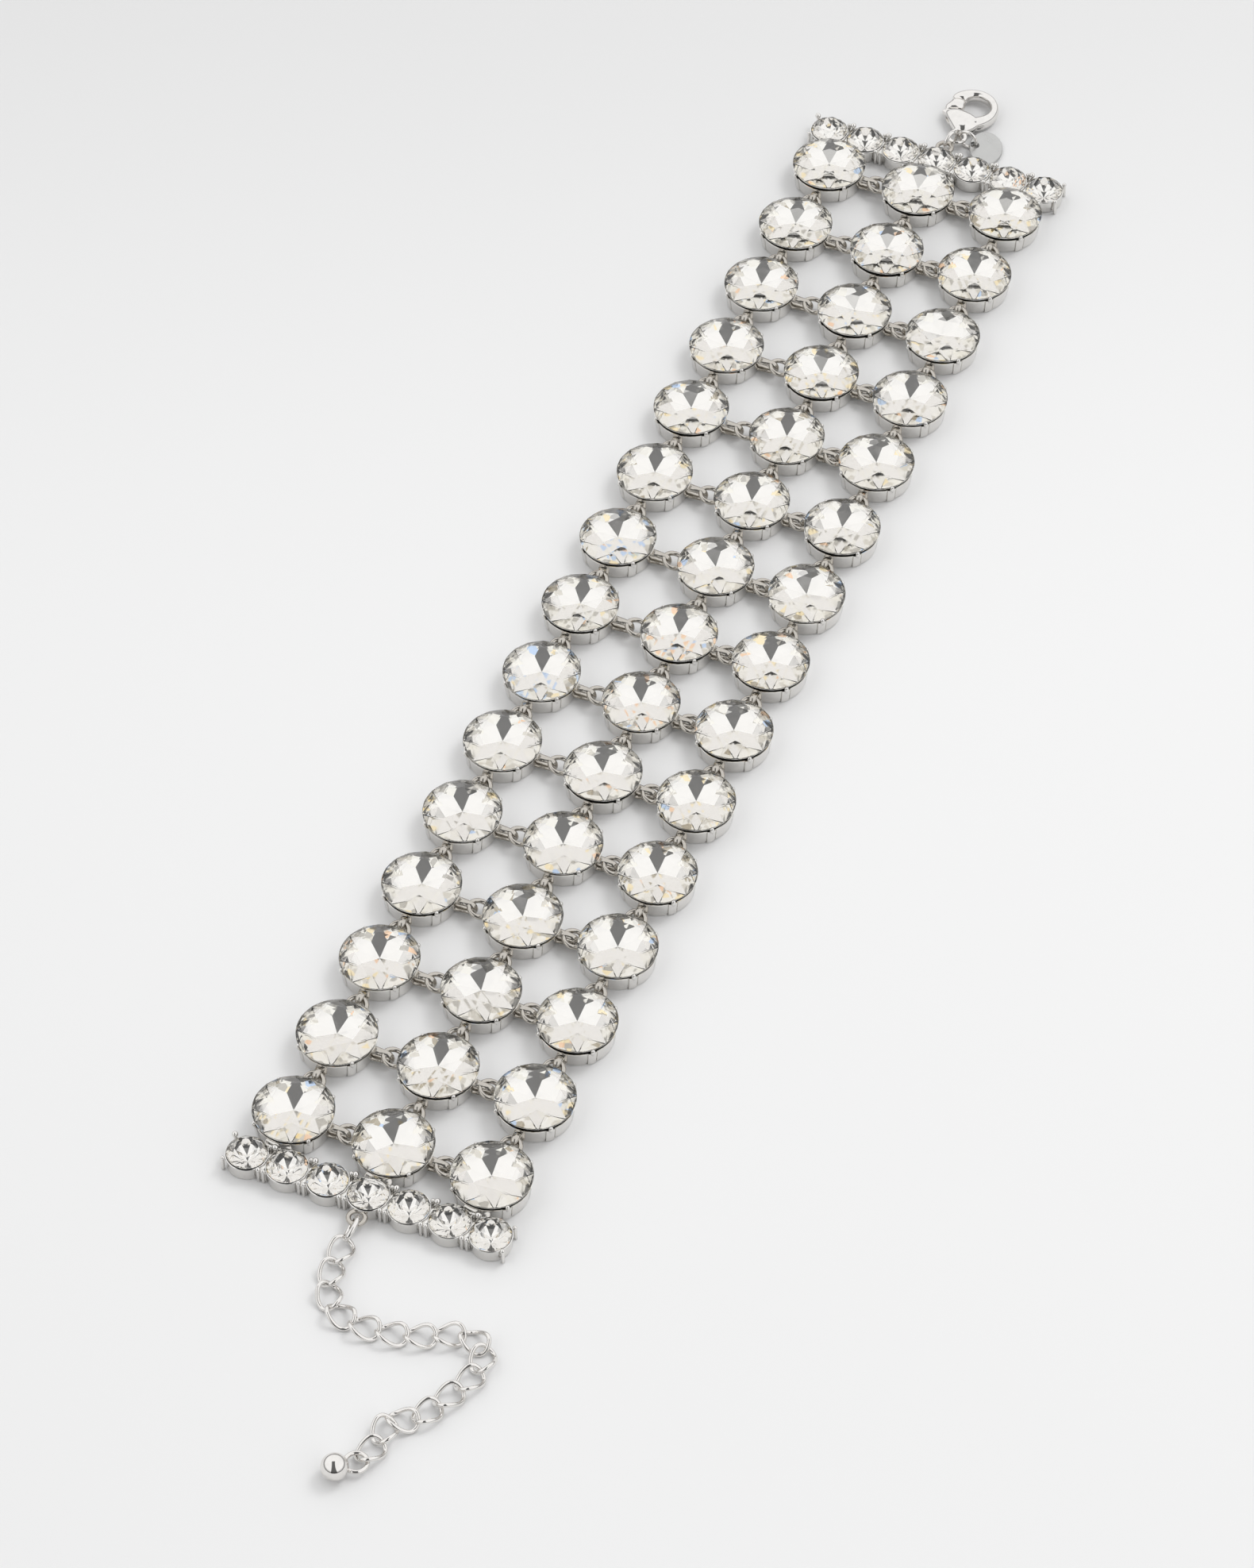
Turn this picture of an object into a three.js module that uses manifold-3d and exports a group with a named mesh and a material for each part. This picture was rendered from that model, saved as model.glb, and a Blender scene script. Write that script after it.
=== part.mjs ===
// Crystal choker necklace, lying open and flat on a surface.
// Millimetres, +Z up. The origin is under the middle of the centre stone's cup.
// +Y runs along the strip towards the clasp, +X towards the right-hand lane.

import * as THREE from 'three';
import { ConvexGeometry } from 'three/addons/geometries/ConvexGeometry.js';
import { mergeVertices } from 'three/addons/utils/BufferGeometryUtils.js';
import Module from 'manifold-3d';

const wasm = await Module();
wasm.setup();

// Layout of the strip
const END_ROW = 7; // rows run from -END_ROW at the chain to +END_ROW at the clasp
const ROW_PITCH = 17.6;
// Each lane's place at the centre row, and how far the end bars pull it to the left
const LANES = [
  { name: 'left', x: -18.95, pull: 0.0, eye: false, hook: true },
  { name: 'middle', x: 0.0, pull: 0.85, eye: true, hook: true },
  { name: 'right', x: 17.5, pull: 0.75, eye: true, hook: false },
];
const PULL_POWER = 3; // the pull is felt most in the last rows

// Main stone, 14 mm, seated in a round cup
const STONE = {
  fold: 8,
  baseRadius: 6.45,
  baseZ: 0,
  girdleRadius: 6.95,
  girdleZ: 4.35,
  tableRadius: 4.2,
  tableZ: 5.8,
};

// Small stone of the end bars, 7 mm. Its lower edge is sunk in the bar.
const CHATON = { fold: 5, edgeRadius: 3.55, edgeZ: 2.4, tableRadius: 1.9, tableZ: 4.2 };

// End bar: a row of small round cups with a column for a prong between them
const BAR_CHATONS = 7;
const BAR_PITCH = 7.3;
const BAR_X = -0.9;
const BAR_Y = 133.45;
const BAR_HEIGHT = 2.6;
const BAR_CUP_RADIUS = 3.7;
const COLUMN = { halfWidth: 0.5, depth: 2.98 };
const PRONG = { radius: 0.48, offset: 2.46, lowZ: 2.3, ballZ: 3.0, tipZ: 3.4, sides: 5 };
const SOLDER = { width: 5.2, lowZ: 0.3, highZ: 2.3 };

// Cast eyes lie flat. Cast hooks stand upright and pass through them.
const WIRE = 0.7;
const EYE = { halfWidth: 1.85, farShare: 0.72, z: 1.7 };
const HOOK = { halfHeight: 1.25, z: 1.7 };
const ROW_EYE_REACH = 9.95; // from a cup's centre to the outside of its eye
const ROW_HOOK_REACH = 9.6;
const LANE_EYE_REACH = 10.25;
const LANE_HOOK_REACH = 10.45;
const BAR_EYE = { reach: 6.5, z: 1.9 };
const ROOT_DEPTH = 0.8; // how far eyes and hooks are sunk into a cup's wall

// Extension chain of twisted links
const LINK = { pitch: 4.63, halfLength: 2.555, halfWidth: 1.98, twist: 0.83, wire: 0.32, z: 1.16 };
const LINK_SEGMENTS = 10;
const WIRE_SIDES = 5;
const CHAIN_START = { y: -138.52, x: BAR_X + 0.1 };
// The first link is shorter, flat, and turned on edge to pass through the bar's eye
const FIRST_LINK = { pitch: 3.9, halfLength: 2.15, halfWidth: 1.53, z: 1.88, drop: 4, roll: 90 };
// Heading of each twisted link in degrees, from the end bar to the ball
const HEADINGS = [-90, -80, -60, -20, 2, 10, 22, 28, -14, -80, -108, -118, -112, -165, -80, -112];
const END_LOOP = { radius: 1.85, heading: -112, shift: 0.9, z: 1.16 };
const BALL = { radius: 2.3, heading: -132, distance: 3.7, columns: 12, bands: 6 };

// Lobster clasp, lying flat, with its centre plane at CLASP.z
const CLASP = { x: 0.55, y: 150.6, z: 1.6 };
const CLASP_EYE = { x: 0.2, y: 142.1, radius: 1.6, wire: 0.42 };
const CLASP_SIDES = 8;
const RING_SEGMENTS = 10;
// The bent hook, from its open end on the left, over the top, to the right-hand side of the body
const HOOK_STATIONS = [
  { angle: 152, radius: 3.95, halfWidth: 0.7, halfHeight: 0.95 },
  { angle: 128, radius: 4.0, halfWidth: 0.8, halfHeight: 1.1 },
  { angle: 100, radius: 4.05, halfWidth: 0.85, halfHeight: 1.15 },
  { angle: 70, radius: 4.0, halfWidth: 0.85, halfHeight: 1.15 },
  { angle: 40, radius: 3.95, halfWidth: 0.85, halfHeight: 1.15 },
  { angle: 10, radius: 3.95, halfWidth: 0.85, halfHeight: 1.2 },
  { angle: -20, radius: 3.95, halfWidth: 0.95, halfHeight: 1.25 },
  { angle: -45, radius: 4.0, halfWidth: 1.1, halfHeight: 1.35 },
  { angle: -65, radius: 4.2, halfWidth: 1.2, halfHeight: 1.4 },
];
// The tapering body, from the opening down to the eye
const BODY_STATIONS = [
  { v: -3.15, u: -0.75, halfWidth: 3.1, halfHeight: 1.35 },
  { v: -4.3, u: -0.6, halfWidth: 2.95, halfHeight: 1.5 },
  { v: -5.6, u: -0.45, halfWidth: 2.1, halfHeight: 1.35 },
  { v: -7.2, u: -0.35, halfWidth: 0.8, halfHeight: 0.75 },
];
const LEVER = { thickness: 1.1, pivotU: -2.75, pivotV: -4.1, bore: 0.5, pin: 0.38 };
const LEVER_SLOT = { height: 1.5, lowU: -5.2, highU: -1.55, lowV: -5.4, highV: -1.5 };
const LEVER_OUTLINE = [
  { u: -3.55, v: -4.6 },
  { u: -4.3, v: -3.6 },
  { u: -5.75, v: -3.1 },
  { u: -5.9, v: -2.5 },
  { u: -4.75, v: -2.4 },
  { u: -4.75, v: -0.6 },
  { u: -4.45, v: 0.9 },
  { u: -3.75, v: 1.25 },
  { u: -3.3, v: 0.5 },
  { u: -3.5, v: -1.0 },
  { u: -3.3, v: -2.3 },
  { u: -1.85, v: -3.75 },
  { u: -1.95, v: -4.6 },
  { u: -2.75, v: -5.0 },
];

// Rings and tag at the clasp
const CLASP_RING = { x: -0.4, y: 140.1, z: 2.12, radius: 1.75, wire: 0.32, heading: 72 };
const TAG = { x: 6.15, y: 142.1, z: 0.75, halfLength: 4.4, halfWidth: 3.2, thickness: 0.6, heading: 104 };
const TAG_HOLE = { offset: 2.25, radius: 0.85 };
const TAG_LEAN = 8; // degrees, the hole's side is held up by its ring
const TAG_SIDES = 16;
const TAG_RING = { radius: 1.8, wire: 0.3, lean: 0, from: [0.82, 141.95, 2.12], to: [4.22, 141.45, 2.12] };

const RADIANS = Math.PI / 180;

const rhodium = new THREE.MeshStandardMaterial({ color: 0xc9c6c1, metalness: 1.0, roughness: 0.16 });
const crystal = new THREE.MeshStandardMaterial({ color: 0xe9e8e2, metalness: 0.2, roughness: 0.06 });

// Solids and meshes

function toSolid(geometry) {
  const bare = geometry.clone();
  bare.deleteAttribute('normal');
  bare.deleteAttribute('uv');
  const merged = mergeVertices(bare, 1e-4);
  const mesh = new wasm.Mesh({
    numProp: 3,
    vertProperties: Float32Array.from(merged.attributes.position.array),
    triVerts: Uint32Array.from(merged.index.array),
  });
  return new wasm.Manifold(mesh);
}

function toGeometry(solid) {
  const mesh = solid.getMesh();
  const geometry = new THREE.BufferGeometry();
  geometry.setAttribute('position', new THREE.BufferAttribute(Float32Array.from(mesh.vertProperties), 3));
  geometry.setIndex(Array.from(mesh.triVerts));
  geometry.computeVertexNormals();
  return geometry;
}

function join(geometries) {
  return geometries.map(toSolid).reduce((whole, piece) => whole.add(piece));
}

function named(name, geometry, material) {
  const mesh = new THREE.Mesh(geometry, material);
  mesh.name = name;
  return mesh;
}

function circlePoint(radius, angle, z) {
  return new THREE.Vector3(radius * Math.cos(angle), radius * Math.sin(angle), z);
}

// A closed skin through rings of points that all have the same count
function loft(rings) {
  const count = rings[0].length;
  const positions = rings.flat().flatMap((point) => [point.x, point.y, point.z]);
  const triangles = [];
  for (let ring = 0; ring + 1 < rings.length; ring += 1) {
    for (let side = 0; side < count; side += 1) {
      const a = ring * count + side;
      const b = ring * count + ((side + 1) % count);
      triangles.push(a, b, b + count, a, b + count, a + count);
    }
  }
  const last = (rings.length - 1) * count;
  for (let side = 1; side + 1 < count; side += 1) {
    triangles.push(0, side + 1, side, last, last + side, last + side + 1);
  }
  const geometry = new THREE.BufferGeometry();
  geometry.setAttribute('position', new THREE.Float32BufferAttribute(positions, 3));
  geometry.setIndex(triangles);
  return geometry;
}

// Stones and settings

// Cup and cut stone in one convex form: base, girdle and table
function settingGeometry() {
  const points = [];
  const half = Math.PI / STONE.fold;
  for (let k = 0; k < 2 * STONE.fold; k += 1) {
    points.push(circlePoint(STONE.baseRadius, k * half, STONE.baseZ));
    points.push(circlePoint(STONE.girdleRadius, k * half, STONE.girdleZ));
    if (k % 2) points.push(circlePoint(STONE.tableRadius, k * half, STONE.tableZ));
  }
  return new ConvexGeometry(points);
}

function chatonGeometry() {
  const points = [];
  const half = Math.PI / CHATON.fold;
  for (let k = 0; k < 2 * CHATON.fold; k += 1) {
    points.push(circlePoint(CHATON.edgeRadius, k * half, CHATON.edgeZ));
    if (k % 2) points.push(circlePoint(CHATON.tableRadius, k * half, CHATON.tableZ));
  }
  return new ConvexGeometry(points);
}

// Outline of a flat bow that starts inside the wall, reaches outwards along +Y and narrows to its end
function bowShape(root, reach, outer, farShare) {
  const inner = outer - WIRE;
  const outline = [
    [outer, root], [outer * farShare, reach], [-outer * farShare, reach], [-outer, root],
    [-inner, root], [-inner * farShare, reach - WIRE], [inner * farShare, reach - WIRE], [inner, root],
  ];
  return new THREE.Shape(outline.map(([x, y]) => new THREE.Vector2(x, y)));
}

function plate(shape, thickness) {
  const geometry = new THREE.ExtrudeGeometry(shape, { depth: thickness, bevelEnabled: false });
  return geometry.translate(0, 0, -thickness / 2);
}

// A flat eye, opening upwards, turned about Z from +Y
function eyeGeometry(root, reach, turn, z) {
  const geometry = plate(bowShape(root, reach, EYE.halfWidth, EYE.farShare), WIRE);
  return geometry.rotateZ(turn * RADIANS).translate(0, 0, z);
}

// An upright hook, turned about Z from +Y
function hookGeometry(root, reach, turn) {
  const geometry = plate(bowShape(root, reach, HOOK.halfHeight, 1), WIRE);
  return geometry.rotateY(90 * RADIANS).rotateZ(turn * RADIANS).translate(0, 0, HOOK.z);
}

const wallRoot = STONE.baseRadius - ROOT_DEPTH;

function sideJoinery(lane) {
  const pieces = [];
  if (lane.eye) pieces.push(eyeGeometry(wallRoot, LANE_EYE_REACH, 90, EYE.z));
  if (lane.hook) pieces.push(hookGeometry(wallRoot, LANE_HOOK_REACH, -90));
  return pieces;
}

function laneX(lane, row) {
  return lane.x - lane.pull * Math.abs(row / END_ROW) ** PULL_POWER;
}

function mainStone(lane, row) {
  const pieces = [
    settingGeometry(),
    eyeGeometry(wallRoot, ROW_EYE_REACH, 0, EYE.z),
    hookGeometry(wallRoot, ROW_HOOK_REACH, 180),
    ...sideJoinery(lane),
  ];
  const mesh = named(`stone_${lane.name}_${row + END_ROW + 1}`, toGeometry(join(pieces)), crystal);
  mesh.position.set(laneX(lane, row), row * ROW_PITCH, 0);
  return mesh;
}

// End bars: seven small stones in one scalloped bar, and the three cups soldered to it

const barMiddle = (BAR_CHATONS - 1) / 2;
const chatonX = (k) => (k - barMiddle) * BAR_PITCH;

// One long side of the bar, from -X to +X, bulging at each cup and standing out at each column
function barSide() {
  const points = [];
  for (let k = 0; k < BAR_CHATONS; k += 1) {
    const columnX = chatonX(k) - BAR_PITCH / 2;
    points.push([columnX - COLUMN.halfWidth, COLUMN.depth], [columnX + COLUMN.halfWidth, COLUMN.depth]);
    for (const angle of [-45, 0, 45]) {
      const turned = angle * RADIANS;
      points.push([chatonX(k) + BAR_CUP_RADIUS * Math.sin(turned), BAR_CUP_RADIUS * Math.cos(turned)]);
    }
  }
  const lastX = chatonX(BAR_CHATONS) - BAR_PITCH / 2;
  points.push([lastX - COLUMN.halfWidth, COLUMN.depth], [lastX + COLUMN.halfWidth, COLUMN.depth]);
  return points;
}

function barGeometry() {
  const side = barSide();
  const opposite = side.map(([x, y]) => [-x, -y]);
  const shape = new THREE.Shape([...side, ...opposite].map(([x, y]) => new THREE.Vector2(x, y)));
  return new THREE.ExtrudeGeometry(shape, { depth: BAR_HEIGHT, bevelEnabled: false });
}

function prongGeometry(x, y) {
  const points = [new THREE.Vector3(x, y, PRONG.tipZ)];
  for (let k = 0; k < PRONG.sides; k += 1) {
    const spot = circlePoint(PRONG.radius, (2 * Math.PI * k) / PRONG.sides, 0);
    points.push(new THREE.Vector3(x + spot.x, y + spot.y, PRONG.lowZ));
    points.push(new THREE.Vector3(x + spot.x, y + spot.y, PRONG.ballZ));
  }
  return new ConvexGeometry(points);
}

function solderBlock(side) {
  const fromY = STONE.baseRadius - 2;
  const toY = BAR_Y - END_ROW * ROW_PITCH - 1;
  const geometry = new THREE.BoxGeometry(SOLDER.width, toY - fromY, SOLDER.highZ - SOLDER.lowZ);
  return geometry.translate(0, (side * (fromY + toY)) / 2, (SOLDER.lowZ + SOLDER.highZ) / 2);
}

function barPieces(side) {
  const pieces = [barGeometry()];
  for (let k = 0; k < BAR_CHATONS; k += 1) pieces.push(chatonGeometry().translate(chatonX(k), 0, 0));
  for (let k = 0; k <= BAR_CHATONS; k += 1) {
    const x = chatonX(k) - BAR_PITCH / 2;
    pieces.push(prongGeometry(x, PRONG.offset), prongGeometry(x, -PRONG.offset));
  }
  const turn = side > 0 ? 0 : 180;
  pieces.push(eyeGeometry(BAR_CUP_RADIUS - ROOT_DEPTH, BAR_EYE.reach, turn, BAR_EYE.z));
  return pieces.map((piece) => piece.translate(BAR_X, side * BAR_Y, 0));
}

// The last row's cups reach towards the strip: hooks at the clasp end, eyes at the chain end
function endRowPieces(side, lane) {
  const rowJoinery = side > 0
    ? hookGeometry(wallRoot, ROW_HOOK_REACH, 180)
    : eyeGeometry(wallRoot, ROW_EYE_REACH, 0, EYE.z);
  const pieces = [settingGeometry(), solderBlock(side), rowJoinery, ...sideJoinery(lane)];
  const row = side * END_ROW;
  return pieces.map((piece) => piece.translate(laneX(lane, row), row * ROW_PITCH, 0));
}

function endBar(name, side) {
  const rowPieces = LANES.flatMap((lane) => endRowPieces(side, lane));
  return named(name, toGeometry(join([...barPieces(side), ...rowPieces])), rhodium);
}

// Extension chain

class TwistedLinkCurve extends THREE.Curve {
  constructor(halfLength, halfWidth, twist) {
    super();
    Object.assign(this, { halfLength, halfWidth, twist });
  }

  getPoint(t, target = new THREE.Vector3()) {
    const angle = 2 * Math.PI * t;
    const x = this.halfLength * Math.cos(angle);
    const y = this.halfWidth * Math.sin(angle);
    return target.set(x, y, this.twist * Math.sin(2 * angle));
  }
}

function linkGeometry(halfLength, halfWidth, twist) {
  const curve = new TwistedLinkCurve(halfLength, halfWidth, twist);
  return new THREE.TubeGeometry(curve, LINK_SEGMENTS, LINK.wire, WIRE_SIDES, true);
}

// Where each twisted link starts and ends: it hooks into the last one a pitch further on
function chainJoints() {
  const joints = [new THREE.Vector2(CHAIN_START.x, CHAIN_START.y - FIRST_LINK.pitch)];
  for (const heading of HEADINGS) {
    const step = new THREE.Vector2(LINK.pitch, 0).rotateAround(new THREE.Vector2(), heading * RADIANS);
    joints.push(joints[joints.length - 1].clone().add(step));
  }
  return joints;
}

function extensionChain(joints) {
  const first = linkGeometry(FIRST_LINK.halfLength, FIRST_LINK.halfWidth, 0);
  first.rotateX(FIRST_LINK.roll * RADIANS).rotateY(FIRST_LINK.drop * RADIANS).rotateZ(-90 * RADIANS);
  first.translate(CHAIN_START.x, CHAIN_START.y - FIRST_LINK.pitch / 2, FIRST_LINK.z);
  const links = HEADINGS.map((heading, k) => {
    const centre = joints[k].clone().add(joints[k + 1]).multiplyScalar(0.5);
    const link = linkGeometry(LINK.halfLength, LINK.halfWidth, LINK.twist).rotateZ(heading * RADIANS);
    return link.translate(centre.x, centre.y, LINK.z);
  });
  return named('extension_chain', toGeometry(join([first, ...links])), rhodium);
}

function chainBall(joints) {
  const end = joints[joints.length - 1];
  const toward = (heading, distance) => circlePoint(distance, heading * RADIANS, 0);
  const loop = new THREE.TorusGeometry(END_LOOP.radius, LINK.wire, WIRE_SIDES, RING_SEGMENTS);
  const loopShift = toward(END_LOOP.heading, END_LOOP.shift);
  loop.translate(end.x + loopShift.x, end.y + loopShift.y, END_LOOP.z);
  const ball = new THREE.SphereGeometry(BALL.radius, BALL.columns, BALL.bands);
  const ballShift = toward(BALL.heading, BALL.distance);
  ball.rotateX(90 * RADIANS);
  ball.translate(end.x + loopShift.x + ballShift.x, end.y + loopShift.y + ballShift.y, BALL.radius);
  return named('chain_ball', toGeometry(join([loop, ball])), rhodium);
}

// Lobster clasp

// An eight-sided section across the plan direction `across`
function claspSection(centre, across, halfWidth, halfHeight) {
  const ring = [];
  for (let side = 0; side < CLASP_SIDES; side += 1) {
    const angle = (2 * Math.PI * (side + 0.5)) / CLASP_SIDES;
    const point = centre.clone().addScaledVector(across, halfWidth * Math.cos(angle));
    ring.push(point.setZ(halfHeight * Math.sin(angle)));
  }
  return ring;
}

function hookLoft() {
  return loft(HOOK_STATIONS.map((station) => {
    const angle = station.angle * RADIANS;
    const across = circlePoint(1, angle, 0);
    const centre = circlePoint(station.radius, angle, 0);
    return claspSection(centre, across, station.halfWidth, station.halfHeight);
  }));
}

function bodyLoft() {
  const across = new THREE.Vector3(1, 0, 0);
  return loft(BODY_STATIONS.map((station) => {
    const centre = new THREE.Vector3(station.u, station.v, 0);
    return claspSection(centre, across, station.halfWidth, station.halfHeight);
  }));
}

function claspBody() {
  const eye = new THREE.TorusGeometry(CLASP_EYE.radius, CLASP_EYE.wire, WIRE_SIDES, RING_SEGMENTS + 2);
  eye.translate(CLASP_EYE.x - CLASP.x, CLASP_EYE.y - CLASP.y, 0);
  const slot = new THREE.BoxGeometry(
    LEVER_SLOT.highU - LEVER_SLOT.lowU,
    LEVER_SLOT.highV - LEVER_SLOT.lowV,
    LEVER_SLOT.height,
  );
  slot.translate((LEVER_SLOT.highU + LEVER_SLOT.lowU) / 2, (LEVER_SLOT.highV + LEVER_SLOT.lowV) / 2, 0);
  const pin = new THREE.CylinderGeometry(LEVER.pin, LEVER.pin, LEVER_SLOT.height + 0.4, 8);
  pin.rotateX(90 * RADIANS).translate(LEVER.pivotU, LEVER.pivotV, 0);
  const solid = join([hookLoft(), bodyLoft(), eye]).subtract(toSolid(slot)).add(toSolid(pin));
  const mesh = named('clasp_body', toGeometry(solid), rhodium);
  mesh.position.set(CLASP.x, CLASP.y, CLASP.z);
  return mesh;
}

function claspLever() {
  const shape = new THREE.Shape(LEVER_OUTLINE.map(({ u, v }) => new THREE.Vector2(u, v)));
  const bore = new THREE.Path();
  for (let k = 0; k < 10; k += 1) {
    const spot = circlePoint(LEVER.bore, k * 36 * RADIANS, 0);
    const x = LEVER.pivotU + spot.x;
    const y = LEVER.pivotV + spot.y;
    if (k === 0) bore.moveTo(x, y);
    else bore.lineTo(x, y);
  }
  shape.holes.push(bore);
  const mesh = named('clasp_lever', plate(shape, LEVER.thickness), rhodium);
  mesh.position.set(CLASP.x, CLASP.y, CLASP.z);
  return mesh;
}

// Rings and tag

function claspRing() {
  const { x, y, z, radius, wire, heading } = CLASP_RING;
  const ring = new THREE.TorusGeometry(radius, wire, WIRE_SIDES, RING_SEGMENTS).rotateX(90 * RADIANS);
  const mesh = named('clasp_jump_ring', toGeometry(toSolid(ring)), rhodium);
  mesh.position.set(x, y, z);
  mesh.rotation.z = heading * RADIANS;
  return mesh;
}

function tagRing() {
  const from = new THREE.Vector3(...TAG_RING.from);
  const to = new THREE.Vector3(...TAG_RING.to);
  const along = to.clone().sub(from).normalize();
  const sideways = new THREE.Vector3(0, 0, 1).cross(along).normalize();
  const upright = along.clone().cross(sideways);
  const lean = TAG_RING.lean * RADIANS;
  const second = upright.multiplyScalar(Math.cos(lean)).addScaledVector(sideways, Math.sin(lean));
  const ring = new THREE.TorusGeometry(TAG_RING.radius, TAG_RING.wire, WIRE_SIDES, RING_SEGMENTS);
  ring.applyMatrix4(new THREE.Matrix4().makeBasis(along, second, along.clone().cross(second)));
  const mesh = named('tag_ring', toGeometry(toSolid(ring)), rhodium);
  mesh.position.copy(from.add(to).multiplyScalar(0.5));
  return mesh;
}

function tag() {
  const shape = new THREE.Shape();
  for (let k = 0; k < TAG_SIDES; k += 1) {
    const angle = (2 * Math.PI * k) / TAG_SIDES;
    const x = TAG.halfLength * Math.cos(angle);
    const y = TAG.halfWidth * Math.sin(angle);
    if (k === 0) shape.moveTo(x, y);
    else shape.lineTo(x, y);
  }
  const hole = new THREE.Path();
  hole.absarc(0, TAG_HOLE.offset, TAG_HOLE.radius, 0, 2 * Math.PI, true);
  shape.holes.push(hole);
  const geometry = new THREE.ExtrudeGeometry(shape, { depth: TAG.thickness, bevelEnabled: false, curveSegments: 10 });
  geometry.translate(0, 0, -TAG.thickness / 2);
  const mesh = named('tag', toGeometry(toSolid(geometry)), rhodium);
  mesh.position.set(TAG.x, TAG.y, TAG.z);
  mesh.rotation.set(TAG_LEAN * RADIANS, 0, TAG.heading * RADIANS, 'ZYX');
  return mesh;
}

const choker = new THREE.Group();
for (const lane of LANES) {
  for (let row = 1 - END_ROW; row < END_ROW; row += 1) choker.add(mainStone(lane, row));
}
choker.add(endBar('clasp_end_bar', 1), endBar('chain_end_bar', -1));
const joints = chainJoints();
choker.add(extensionChain(joints), chainBall(joints));
choker.add(claspBody(), claspLever(), claspRing(), tagRing(), tag());

export default choker;
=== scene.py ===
"""Crystal choker necklace, lying open and flat on a pale surface.

Sizes are in millimetres and are turned into metres where a mesh is made.
+Y runs along the strip towards the clasp, +X towards the right-hand lane.
"""

import math
import random

import bpy
import numpy as np
from mathutils import Matrix, Vector


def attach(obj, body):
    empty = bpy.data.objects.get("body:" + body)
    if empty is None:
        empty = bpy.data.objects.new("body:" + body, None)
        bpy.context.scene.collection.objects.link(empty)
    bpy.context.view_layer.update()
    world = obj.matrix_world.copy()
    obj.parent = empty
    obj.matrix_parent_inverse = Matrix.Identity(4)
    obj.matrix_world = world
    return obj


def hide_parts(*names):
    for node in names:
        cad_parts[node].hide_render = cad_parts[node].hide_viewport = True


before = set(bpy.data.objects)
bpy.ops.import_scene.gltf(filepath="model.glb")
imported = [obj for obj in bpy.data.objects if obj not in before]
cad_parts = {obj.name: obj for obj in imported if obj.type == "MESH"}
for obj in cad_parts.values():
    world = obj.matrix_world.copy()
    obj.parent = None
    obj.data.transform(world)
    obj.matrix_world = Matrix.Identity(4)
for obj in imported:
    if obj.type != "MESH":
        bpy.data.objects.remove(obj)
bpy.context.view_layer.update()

MM = 0.001
RNG = random.Random(14)
MAIN_BODY = "necklace"
LEVER_BODY = "lever"

# Layout of the strip, as in the solids
END_ROW = 7
ROW_PITCH = 17.6
LANES = [
    {"name": "left", "x": -18.95, "pull": 0.0, "eye": False, "hook": True},
    {"name": "middle", "x": 0.0, "pull": 0.85, "eye": True, "hook": True},
    {"name": "right", "x": 17.5, "pull": 0.75, "eye": True, "hook": False},
]
PULL_POWER = 3
BAR_CHATONS = 7
BAR_PITCH = 7.3
BAR_X = -0.9
BAR_Y = 133.45

# Joinery
WIRE_RADIUS = 0.4
EYE_RADIUS = 1.7
EYE_WIRE = 0.44
EYE_RISE = 0.9
EYE_Z = 1.7
HOOK_ROOT_WIDTH = 2.3  # shares of the wire's own width
HOOK_END_WIDTH = 1.35
ROW_HOOK_LIFT = 0.55
HOOK_BEND = 0.9
ROW_EYE_REACH = 9.95
ROW_HOOK_REACH = 9.6
LANE_EYE_REACH = 10.25
LANE_HOOK_REACH = 10.45
BAR_EYE = {"reach": 6.5, "z": 1.9, "radius": 1.4}
WALL_ROOT = 6.2

# Cup of a main stone
CUP_PROFILE = [  # radius, height, share of the relief that the prong columns give the wall
    (0.0, 0.02, 0), (6.2, 0.02, 0), (6.4, 0.12, 1), (6.46, 0.35, 1), (6.78, 3.0, 1), (6.84, 3.22, 1),
    (6.82, 3.29, 1), (6.72, 3.31, 0), (6.64, 3.27, 0), (6.6, 2.9, 0), (6.3, 1.0, 0), (0.0, 0.2, 0),
]
DARK_SPANS_FROM = 7  # the inside of the wall, below its lip, is painted near-black as shade in the gap under the stone
PRONG_ANGLES = (45, 135, 225, 315)
COLUMN_RELIEF = [  # degrees from the prong's middle, how far the wall stands out
    (-9.4, 0.0), (-8.5, 0.0), (-7.9, -0.16), (-6.9, -0.16), (-6.3, 0.12), (-4.2, 0.17), (0.0, 0.19),
    (4.2, 0.17), (6.3, 0.12), (6.9, -0.16), (7.9, -0.16), (8.5, 0.0), (9.4, 0.0),
]
WALL_STEPS = 9
CLAW = [  # radius from the cup's middle, height, thickness of the claw
    (6.66, 2.7, 0.32), (6.84, 3.2, 0.34), (6.96, 3.45, 0.38), (7.0, 3.7, 0.42),
    (6.99, 3.92, 0.41), (6.96, 4.12, 0.33), (6.93, 4.24, 0.2), (6.92, 4.28, 0.01),
]

# Cut stones: heights and radii of the facet corners
MAIN_CUT = {
    "table": (4.15, 5.78), "star": 5.4, "girdle": (6.95, 4.35), "band": (6.86, 3.84),
    "foot": (6.64, 3.6), "half": 3.6, "culet": 2.27, "lift": -0.14,
}
SMALL_CUT = {
    "table": (2.0, 4.15), "star": 2.65, "girdle": (3.45, 2.98), "band": (3.45, 2.82),
    "foot": (3.4, 2.72), "half": 2.2, "culet": 0.35, "lift": 0.0,
}
FOLD = 8
FACET_STEP = 360 / FOLD
GIRDLE_STEPS = 3
STONE_TURN = 9  # how far a stone may sit off true, in degrees
STONE_LEAN = 1.2
SMALL_STONE_LEAN = 2

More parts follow.
